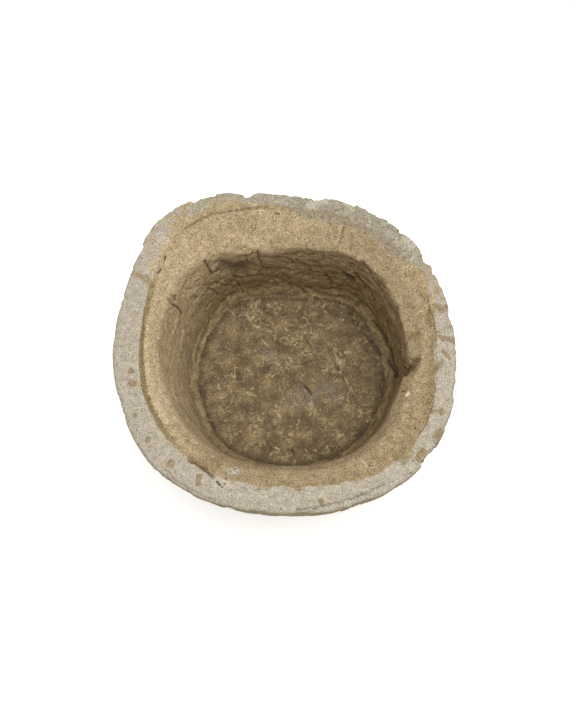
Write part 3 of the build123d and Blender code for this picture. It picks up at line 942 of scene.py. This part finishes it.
def shades(tree, where, size, colours, detail=5.0, rough=0.6, stretch=(1, 1, 1)):
    # a noise of that size, through colours at their own shares of its range
    spread = vectorMaths(tree, "MULTIPLY", where, stretch)
    noise = plainNoise(tree, spread, perMetre(size), detail, rough)
    ramp = addNode(tree, "ShaderNodeValToRGB", {0: noise.outputs[0]})
    stops = ramp.color_ramp.elements
    while len(stops) < len(colours):
        stops.new(0.5)
    for stop, (share, colour) in zip(stops, colours.items()):
        stop.position = share
        stop.color = linearColour(colour)
    return ramp.outputs[0]


def limestoneNodes(material, stoneTree):
    tree, shader, where = mattShader(material, limestoneFinish)
    masks = {name: addNode(tree, "ShaderNodeAttribute", attribute_name=name).outputs["Fac"]
             for name in ("rimSkin", "oldSkin", "ledgeBand", "stepFace", "outerFace", "wallFace",
                          "floorFace", "pale", "stain", "depthDown", "crevice", "dirt")}

    def layer(under, over, mask, brokenBy=0.5, size=9.0, soft=0.12):
        # over shows where the mask is high, with an edge broken by noise
        noise = plainNoise(tree, where, perMetre(size), 5.0, 0.7)
        shifted = maths(tree, "SUBTRACT", noise.outputs[0], 0.5)
        shifted = maths(tree, "MULTIPLY_ADD", shifted, brokenBy * 2.2, mask)
        edge = mapRange(tree, shifted, 0.5 - soft, 0.5 + soft)
        return mixColours(tree, edge, under, over)

    def dots(spacing, share, width):
        # scattered specks of that width, in that share of the cells
        cells = addNode(tree, "ShaderNodeTexVoronoi", {"Vector": where, "Scale": perMetre(spacing)})
        chosen = maths(tree, "LESS_THAN", cells.outputs["Color"], share)
        close = mapRange(tree, cells.outputs["Distance"], 0.5 * width / spacing, 0.9 * width / spacing,
                         1.0, 0.0)
        return maths(tree, "MULTIPLY", chosen, close)

    def patches(group):
        # a mask of one group of spots, with ragged edges
        ragged = plainNoise(tree, where, perMetre(group["size"]), 4.0, 0.7)
        ragged = vectorMaths(tree, "SUBTRACT", ragged.outputs["Color"], (0.5, 0.5, 0.5))
        ragged = scaledBy(tree, ragged, 2 * group["broken"] * mm)
        ragged = vectorMaths(tree, "ADD", where, ragged)
        nearest = 9.0
        for radius, *pixels in group["ways"]:
            for place in alongWay(stoneTree, radius, pixels):
                distance = vectorMaths(tree, "DISTANCE", ragged, tuple(place))
                distance = maths(tree, "MULTIPLY", distance.outputs["Value"], perMetre(radius))
                nearest = maths(tree, "MINIMUM", distance, nearest)
        return mapRange(tree, nearest, 1 - group["soft"], 1 + group["soft"], group["share"], 0.0)

    tints = {name: shades(tree, where, **look) for name, look in stoneShades.items()}
    cut = layer(tints["body"], tints["paleBody"], masks["pale"], 0.5, 30, 0.45)
    # the lower wall's colours paint shade as well as brown stain
    stainedShaded = layer(tints["stainedWall"], tints["lowWall"], masks["depthDown"], 0.5, 26, 0.35)
    wall = layer(tints["cleanWall"], stainedShaded, masks["stain"], 0.5, 30, 0.3)
    colour = layer(cut, wall, masks["wallFace"], 0.4, 20, 0.3)
    colour = layer(colour, tints["floor"], masks["floorFace"], 0.4, 14, 0.3)
    colour = layer(colour, tints["step"], masks["stepFace"], 0.5, 9, 0.3)
    colour = layer(colour, tints["outer"], masks["outerFace"], 0.3, 10)
    grey = layer(tints["skin"], tints["old"], masks["oldSkin"], 0.8, 14, 0.3)
    grey = layer(grey, tints["band"], masks["ledgeBand"], 0.6, 12, 0.3)
    colour = layer(colour, grey, masks["rimSkin"], 0.5, 7, 0.22)

    # a net of lime crust on the floor, along the level lines of a noise, and missing in places
    swirl = addNode(tree, "ShaderNodeTexNoise",
                    {"Vector": where, "Scale": perMetre(limestoneFinish["crustSpacing"]), "Detail": 4.0,
                     "Roughness": 0.55, "Distortion": 1.2})
    level = maths(tree, "SUBTRACT", swirl.outputs[0], 0.5)
    level = maths(tree, "ABSOLUTE", level)
    line = limestoneFinish["crustWidth"] / limestoneFinish["crustSpacing"]
    crust = mapRange(tree, level, 0.2 * line, 0.75 * line, 1.0, 0.0)
    gaps = plainNoise(tree, where, perMetre(limestoneFinish["crustGaps"]), 4.0, 0.7)
    gaps = mapRange(tree, gaps.outputs[0], 0.47, 0.6)
    crust = maths(tree, "MULTIPLY", crust, gaps)
    crust = maths(tree, "MULTIPLY", crust, masks["floorFace"])
    colour = mixColours(tree, crust, colour, linearColour(limestoneFinish["crustColour"]))
    for group in spots.values():
        colour = mixColours(tree, patches(group), colour, linearColour(group["colour"]))

    # grain, pores and white grains
    coarse = plainNoise(tree, where, perMetre(limestoneFinish["coarseGrain"]), 2.0, 0.7)
    fine = plainNoise(tree, where, perMetre(limestoneFinish["fineGrain"]), 1.0, 0.7)
    grain = maths(tree, "ADD", coarse.outputs[0], fine.outputs[0])
    contrast = limestoneFinish["grainContrast"]
    speckle = mapRange(tree, grain, 0.75, 1.25, -2 * contrast, 2 * contrast, clamp=False)
    calm = mapRange(tree, masks["rimSkin"], 0.0, 1.0, 1.0, limestoneFinish["skinGrain"])
    speckle = maths(tree, "MULTIPLY_ADD", speckle, calm, 1.0)
    colour = scaledBy(tree, colour, speckle).outputs[0]
    pores = dots(limestoneFinish["poreSpacing"], limestoneFinish["poreShare"],
                 limestoneFinish["poreWidth"])
    dark = maths(tree, "MULTIPLY", pores, limestoneFinish["poreDark"])
    colour = mixColours(tree, dark, colour, linearColour(limestoneFinish["poreColour"]))
    whites = dots(limestoneFinish["whiteGrainSpacing"], limestoneFinish["whiteGrainShare"],
                  limestoneFinish["whiteGrainWidth"])
    bright = maths(tree, "MULTIPLY", whites, limestoneFinish["whiteGrainBright"])
    colour = mixColours(tree, bright, colour, linearColour(limestoneFinish["whiteGrainColour"]))

    # painted shade and dirt darken the crevices of the surface and the inside of the marks
    dirt = mapRange(tree, masks["crevice"], 0.18, 1.0, 0.0, limestoneFinish["creviceDirt"])
    dirt = maths(tree, "MAXIMUM", dirt, masks["dirt"])
    colour = mixColours(tree, dirt, colour, linearColour(limestoneFinish["dirtColour"]))
    tree.links.new(colour, shader.inputs["Base Color"])

    relief = maths(tree, "MULTIPLY_ADD", pores, -0.8, grain)
    relief = maths(tree, "MULTIPLY_ADD", crust, 0.5, relief)
    bump = addNode(tree, "ShaderNodeBump", {"Height": relief, "Strength": 0.8,
                                            "Distance": limestoneFinish["grainRelief"] * mm})
    tree.links.new(bump.outputs[0], shader.inputs["Normal"])


# Fills of lime mortar in the rim, one piece for each of the CAD's. Nodes fray the outline of each
# and roughen it, then its top is laid on the weathered stone and the stone is hollowed under it.
fills = {
    "voxel": 0.9,
    "swell": 0.3, "fray": 6.0, "fraySize": 4.8,
    "roughness": 0.7, "roughSize": 4.0,
    "proud": 0.3,           # of the weathered stone that they lie on
    "topReach": 0.2,        # what lies less far under the stone than this is a fill's top
    "bedDepth": 4.0, "bedWithin": 1.2, "bedFacing": 0.8,
    "weld": 0.01,
}


def fillNodes():
    tree, given = startTree("mortarFraying", ("Swell", "Fray", "Fray Size", "Roughness", "Rough Size"))
    place = addNode(tree, "GeometryNodeInputPosition")
    normal = addNode(tree, "GeometryNodeInputNormal")
    sideways = vectorMaths(tree, "MULTIPLY", normal, (1.0, 1.0, 0.0))
    depths = []
    for size, depth in (("Fray Size", "Fray"), ("Rough Size", "Roughness")):
        often = maths(tree, "DIVIDE", 1.0, given[size])
        noise = addNode(tree, "ShaderNodeTexNoise", {"Vector": place, "W": given["Seed"], "Scale": often,
                                                     "Detail": 2.0}, noise_dimensions="4D")
        middle = maths(tree, "SUBTRACT", noise.outputs[0], 0.5)
        depths.append(maths(tree, "MULTIPLY", middle, given[depth]))
    frayed = maths(tree, "ADD", depths[0], given["Swell"])
    outward = scaledBy(tree, sideways, frayed)
    rough = scaledBy(tree, normal, depths[1])
    shift = vectorMaths(tree, "ADD", outward, rough)
    return endTree(tree, given, shift)


mortar = bpy.data.materials.new("sandy lime mortar")


def layFills(stoneTree):
    tree = fillNodes()
    inputs = {"Swell": fills["swell"] * mm, "Fray": fills["fray"] * mm,
              "Fray Size": fills["fraySize"] * mm, "Roughness": fills["roughness"] * mm,
              "Rough Size": fills["roughSize"] * mm, "Material": mortar}
    made = []
    for number, (node, source) in enumerate(sorted(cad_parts.items())):
        if node == "stone_block":
            continue
        words = node.split("_")
        name = words[0] + "".join(word.capitalize() for word in words[1:])
        mesh = source.data.copy()
        mesh.name = name
        mesh.materials.clear()
        loose = bmesh.new()
        loose.from_mesh(mesh)
        bmesh.ops.remove_doubles(loose, verts=loose.verts, dist=fills["weld"] * mm)
        loose.to_mesh(mesh)
        loose.free()
        piece = bpy.data.objects.new(name, mesh)
        scene.collection.objects.link(piece)
        remesh = piece.modifiers.new("fine", "REMESH")
        remesh.mode = "VOXEL"
        remesh.voxel_size = fills["voxel"] * mm
        bakeModifiers(piece)
        runNodes(piece, tree, {**inputs, "Seed": number})
        points = readPoints(piece.data)
        for i, point in enumerate(points):
            spot, way, _, _ = stoneTree.find_nearest(Vector(point))
            above = (Vector(point) - spot).dot(way)
            if above > -fills["topReach"] * mm:
                points[i] = spot + way * fills["proud"] * mm
        piece.data.vertices.foreach_set("co", points.ravel())
        for polygon in piece.data.polygons:
            polygon.use_smooth = True
        piece.data.update()
        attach(piece, "root")
        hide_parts(node)
        made.append(piece)
    return made


def treeOf(mesh):
    return BVHTree.FromPolygons([v.co.copy() for v in mesh.vertices],
                                [tuple(p.vertices) for p in mesh.polygons])


def edgeEnds(mesh):
    ends = np.empty(len(mesh.edges) * 2, np.int32)
    mesh.edges.foreach_get("vertices", ends)
    return ends.reshape(-1, 2).T


def bedFills(pieces):
    # the stone sinks under each fill, but not within a point of its edge, so that no gap opens
    mesh = carvedStone.data
    points, normals = readPoints(mesh), readPoints(mesh, "normal")
    a, b = edgeEnds(mesh)
    for piece in pieces:
        tree = treeOf(piece.data)
        cornerPoints = readPoints(piece.data)
        low, high = cornerPoints.min(0) - 2 * mm, cornerPoints.max(0) + 2 * mm
        covered = np.zeros(len(points), bool)
        for i in np.flatnonzero(((points > low) & (points < high)).all(1)):
            _, way, _, distance = tree.find_nearest(Vector(points[i]))
            facing = way.dot(Vector(normals[i])) > fills["bedFacing"]
            covered[i] = facing and distance < fills["bedWithin"] * mm
        bare = np.bincount(a, ~covered[b], len(points)) + np.bincount(b, ~covered[a], len(points))
        points[covered & (bare == 0)] -= fills["bedDepth"] * mm * normals[covered & (bare == 0)]
    mesh.vertices.foreach_set("co", points.ravel())
    mesh.update()


pieces = layFills(treeOf(carvedStone.data))
bedFills(pieces)
print("fills laid:", len(pieces))

thinning = {"mostTriangles": 194000}
crevices = {"passes": 12, "deepest": 1.6}
triangles = sum(len(p.vertices) - 2 for p in carvedStone.data.polygons)
thin = carvedStone.modifiers.new("thin", "DECIMATE")
thin.ratio = thinning["mostTriangles"] / triangles
bakeModifiers(carvedStone)
for polygon in carvedStone.data.polygons:
    polygon.use_smooth = True
print("stone thinned:", triangles, "to", len(carvedStone.data.polygons), "triangles")


def hollows(mesh, passes):
    # how far each point lies below the mean of the points round it, in millimetres
    points = readPoints(mesh)
    normals = readPoints(mesh, "normal")
    a, b = edgeEnds(mesh)
    degree = np.bincount(np.concatenate([a, b]), minlength=len(points))[:, None]
    smooth = points.copy()
    for _ in range(passes):
        sums = [np.bincount(a, smooth[b, k], len(points)) + np.bincount(b, smooth[a, k], len(points))
                for k in range(3)]
        smooth = 0.3 * smooth + 0.7 * np.stack(sums, 1) / np.maximum(degree, 1)
    return ((smooth - points) * normals).sum(1) / mm


# how sunk each point is, which the limestone turns into painted shade and dirt
sunk = hollows(carvedStone.data, crevices["passes"])
writeMask(carvedStone.data, "crevice", np.clip(sunk / crevices["deepest"], -1, 1))
print("crevices measured")
limestoneNodes(limestone, treeOf(carvedStone.data))
print("limestone finished")

# Sandy lime mortar: slaked lime and river sand, trowelled in and weathered. It is matt, warmer and
# browner than the rim, and its sand shows as grain of two to three millimetres.
mortarFinish = {
    "roughness": 0.95, "ior": 1.5, "specular": 0.2,
    "patchSize": 9.0, "colours": {0.32: "#77664A", 0.5: "#8B7A5E", 0.68: "#9B8C72"},
    "sand": 2.4, "sandContrast": 0.3, "sandRelief": 1.2,
}


def mortarNodes(material):
    tree, shader, where = mattShader(material, mortarFinish)
    tint = shades(tree, where, mortarFinish["patchSize"], mortarFinish["colours"], rough=0.65)
    sand = plainNoise(tree, where, perMetre(mortarFinish["sand"]), 2.0, 0.7)
    contrast = mortarFinish["sandContrast"]
    speckle = mapRange(tree, sand.outputs[0], 0.35, 0.65, 1 - contrast, 1 + contrast)
    colour = scaledBy(tree, tint, speckle)
    tree.links.new(colour.outputs[0], shader.inputs["Base Color"])
    bump = addNode(tree, "ShaderNodeBump", {"Height": sand, "Strength": 0.8,
                                            "Distance": mortarFinish["sandRelief"] * mm})
    tree.links.new(bump.outputs[0], shader.inputs["Normal"])


mortarNodes(mortar)
print("mortar finished")

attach(carvedStone, "root")
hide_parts("stone_block")
